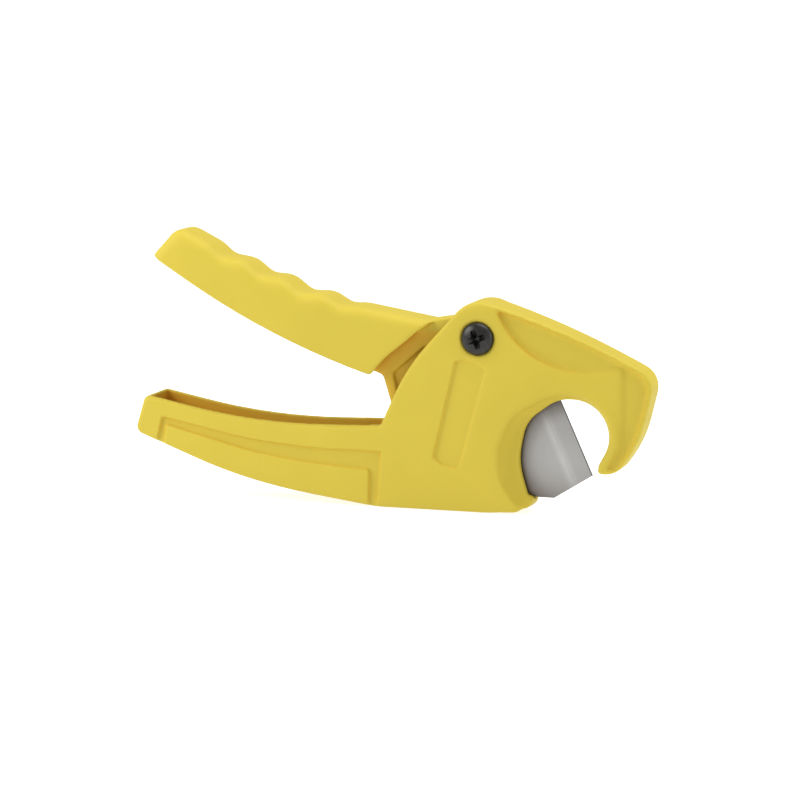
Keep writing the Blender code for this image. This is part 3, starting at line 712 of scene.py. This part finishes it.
steel = flat.mix((*BEVEL_GREY, 1.0), (*STEEL_GREY, 1.0))
steel = (streak * (0.25 + clouds * 0.75)).mix(steel, (*BRIGHT_GREY, 1.0))
from_arc = place.node("ShaderNodeVectorMath", {"operation": "DISTANCE"},
                      {0: place, 1: (pivot_mm.x + SLOT_ARC.x, 0.0, pivot_mm.z + SLOT_ARC.y)},
                      output=1)
# painted shade where the blade comes out of the slot
painted_slot_shade = from_arc.step(*SLOT_SHADE_REACH) * (0.55 + lines * 0.3)
steel = painted_slot_shade.mix(steel, (*SHADED_GREY, 1.0))
# painted shade in the hollow at the slot
steel = openness.step(0.40, 0.98).mix((*SHADED_GREY, 1.0), steel)
steel = from_edge.step(*HONED_WIDTH).mix((*HONED_GREY, 1.0), steel)
connect(steel, ground_shader, "Base Color")
connect(0.30 + lines * 0.10 + clouds * 0.08, ground_shader, "Roughness")
scratches = place.node("ShaderNodeBump", {}, {"Strength": 0.2, "Distance": 0.00002,
                                              "Height": lines})
connect(scratches, ground_shader, "Normal")
frame["nodes"]["blade"].data.materials.clear()
frame["nodes"]["blade"].data.materials.append(ground)


# ---- Pivot screw ----------------------------------------------------------------------
# A black oxide machine screw with a domed head and a tapered cross recess. Its thread ends
# a millimetre proud of the nut.
BLACK_OXIDE = (0.016, 0.015, 0.014)
OXIDE_FRESH = (0.010, 0.009, 0.009)
OXIDE_WORN = (0.024, 0.022, 0.020)
HEAD_RADIUS = 6.45
HEAD_UNDER = -9.5       # underside of the head, from the middle of the tool
HEAD_TOP = -13.1
RIM_HEIGHT = 0.7
RIM_BREAK = 0.15
UNDER_BREAK = 0.2
SHANK_RADIUS = 3.0
SCREW_TIP = 12.2
TIP_BREAK = 0.5
THREAD_FROM = 4.0
THREAD_PITCH = 0.8
THREAD_DEPTH = 0.32
THREAD_END = 0.4        # plain length left at the tip
CROWN_ANGLES = [math.radians(degrees) for degrees in range(0, 86, 5)]
TURNED_STEPS = 72
AXIS_WELD = 0.001
SHARP_ANGLE = math.radians(32)
RECESS_TURN = math.radians(18.0)
# height from the head's top, reach of an arm, half its width, inner corner's distance
RECESS_LEVELS = ((-1.0, 4.8, 1.25, 2.3), (0.3, 4.1, 1.0, 1.85), (3.3, 1.0, 0.32, 0.50))


def pivot_screw():
    """The turned profile, from the head's middle round to the tip, less its recess."""
    crown = HEAD_UNDER - RIM_HEIGHT - HEAD_TOP
    profile = [(HEAD_RADIUS * math.sin(angle), HEAD_TOP + crown * (1 - math.cos(angle)))
               for angle in CROWN_ANGLES]
    profile += [(HEAD_RADIUS, HEAD_TOP + crown + RIM_BREAK),
                (HEAD_RADIUS, HEAD_UNDER - RIM_BREAK),
                (HEAD_RADIUS - UNDER_BREAK, HEAD_UNDER), (SHANK_RADIUS, HEAD_UNDER),
                (SHANK_RADIUS, THREAD_FROM)]
    y = THREAD_FROM
    while y + THREAD_PITCH < SCREW_TIP - THREAD_END:
        profile += [(SHANK_RADIUS - THREAD_DEPTH, y + THREAD_PITCH / 2),
                    (SHANK_RADIUS, y + THREAD_PITCH)]
        y += THREAD_PITCH
    profile += [(SHANK_RADIUS - TIP_BREAK, SCREW_TIP), (0.0, SCREW_TIP)]
    mesh_data = bmesh.new()
    vertices = [mesh_data.verts.new((radius, y, 0.0)) for radius, y in profile]
    edges = [mesh_data.edges.new(pair) for pair in zip(vertices, vertices[1:])]
    bmesh.ops.spin(mesh_data, geom=vertices + edges, cent=(0, 0, 0), axis=(0, 1, 0),
                   angle=math.tau, steps=TURNED_STEPS, use_merge=True, use_duplicate=False)
    bmesh.ops.remove_doubles(mesh_data, verts=mesh_data.verts, dist=AXIS_WELD)
    screw = solid("black_pivot_screw", mesh_data)
    recess = bmesh.new()
    rings = []
    for level, reach, half, inner in RECESS_LEVELS:
        ring = []
        for arm in range(4):
            angle = RECESS_TURN + arm * math.pi / 2
            out = Vector((math.cos(angle), math.sin(angle)))
            side = Vector((-out.y, out.x))
            corner = (out + side).normalized() * inner
            for point in (out * reach - side * half, out * reach + side * half, corner):
                ring.append(recess.verts.new((point.x, HEAD_TOP + level, point.y)))
        rings.append(ring)
    for ring, following in zip(rings, rings[1:]):
        for i in range(len(ring)):
            j = (i + 1) % len(ring)
            recess.faces.new((ring[i], ring[j], following[j], following[i]))
    recess.faces.new(rings[0])
    recess.faces.new(rings[-1])
    bmesh.ops.triangulate(recess, faces=recess.faces)
    return cut(screw, [solid("cross_recess", recess)])


blacked, blacked_shader, place = new_material("black_oxide_steel", BLACK_OXIDE, 0.32, 0.35)
wear = noise(place, 1.4, 3.0, seed=3.0)
oxide = wear.step(0.35, 0.75).mix((*OXIDE_FRESH, 1.0), (*OXIDE_WORN, 1.0))
connect(oxide, blacked_shader, "Base Color")
connect(0.26 + wear * 0.16, blacked_shader, "Roughness")
screw = pivot_screw()
screw.data.transform(Matrix.Translation(PIVOT) @ Matrix.Scale(MM, 4))
screw.data.shade_smooth()
screw.data.set_sharp_from_angle(angle=SHARP_ANGLE)
screw.data.materials.clear()
screw.data.materials.append(blacked)
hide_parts("pivot_screw")
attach(screw, "body")


# ---- Nuts, washer, sleeve, spring and blade screws ------------------------------------
# Bought-in steel pieces, turned, stamped or wound and then zinc plated, which leaves a
# faint mottle. They keep their working shapes.
ZINC = (0.55, 0.55, 0.53)
ZINC_DULL = (0.44, 0.44, 0.41)
plated, plated_shader, place = new_material("zinc_plated_steel", ZINC, 0.36, 1.0)
mottle = noise(place, 1.6, 3.0)
connect(mottle.step(0.3, 0.7).mix((*ZINC_DULL, 1.0), (*ZINC, 1.0)), plated_shader, "Base Color")
connect(0.28 + mottle * 0.20, plated_shader, "Roughness")
for name in ("pivot_nut", "pivot_sleeve", "thrust_washer", "return_spring",
             "blade_screw_upper", "blade_screw_lower", "blade_nut_upper", "blade_nut_lower"):
    frame["nodes"][name].data.materials.clear()
    frame["nodes"][name].data.materials.append(plated)
